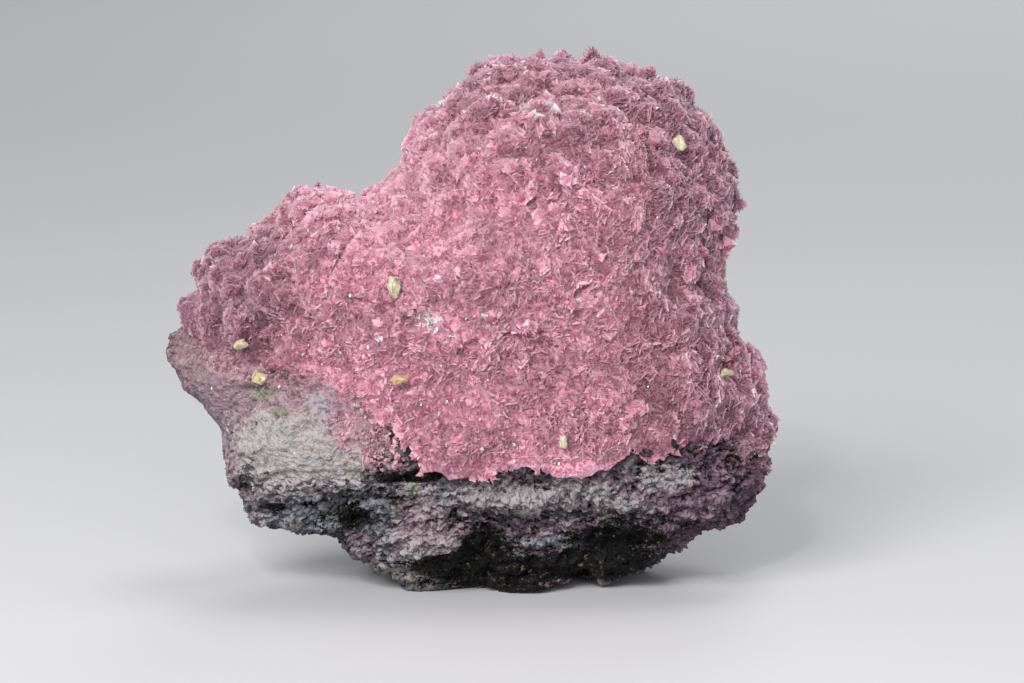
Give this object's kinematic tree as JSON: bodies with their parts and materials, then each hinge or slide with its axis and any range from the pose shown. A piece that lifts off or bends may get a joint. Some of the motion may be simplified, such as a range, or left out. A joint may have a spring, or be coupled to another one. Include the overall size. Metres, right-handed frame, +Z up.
{
  "type": "axinite on rhodonite specimen",
  "caption": "Mineral specimen: a pink bladed rhodonite crust with small yellow-green axinite crystals on grey foliated rock, standing on a flat foot.",
  "frame": {"origin": "middle of the bounding box, on the surface that the specimen stands on", "axes": "+Z up, +X to the right along the width, +Y to the back; the crystal face looks towards -Y and leans back"},
  "size_m": [0.125, 0.0688, 0.1088],
  "materials": {
    "grey_rock": "rough broken rock, grey and cream with black patches; stands in for stone",
    "pink_crust": "sparkling bladed crystals, rose pink; stands in for crystalline rhodonite",
    "axinite": "glassy pale yellow-green crystal; stands in for crystalline axinite"
  },
  "bodies": {
    "root": {"rhodonite_matrix": "grey_rock", "rhodonite_crust": "pink_crust", "axinite_crystal_1": "axinite", "axinite_crystal_2": "axinite", "axinite_crystal_3": "axinite", "axinite_crystal_4": "axinite", "axinite_crystal_5": "axinite", "axinite_crystal_6": "axinite", "axinite_crystal_7": "axinite"}
  },
  "joints": []
}
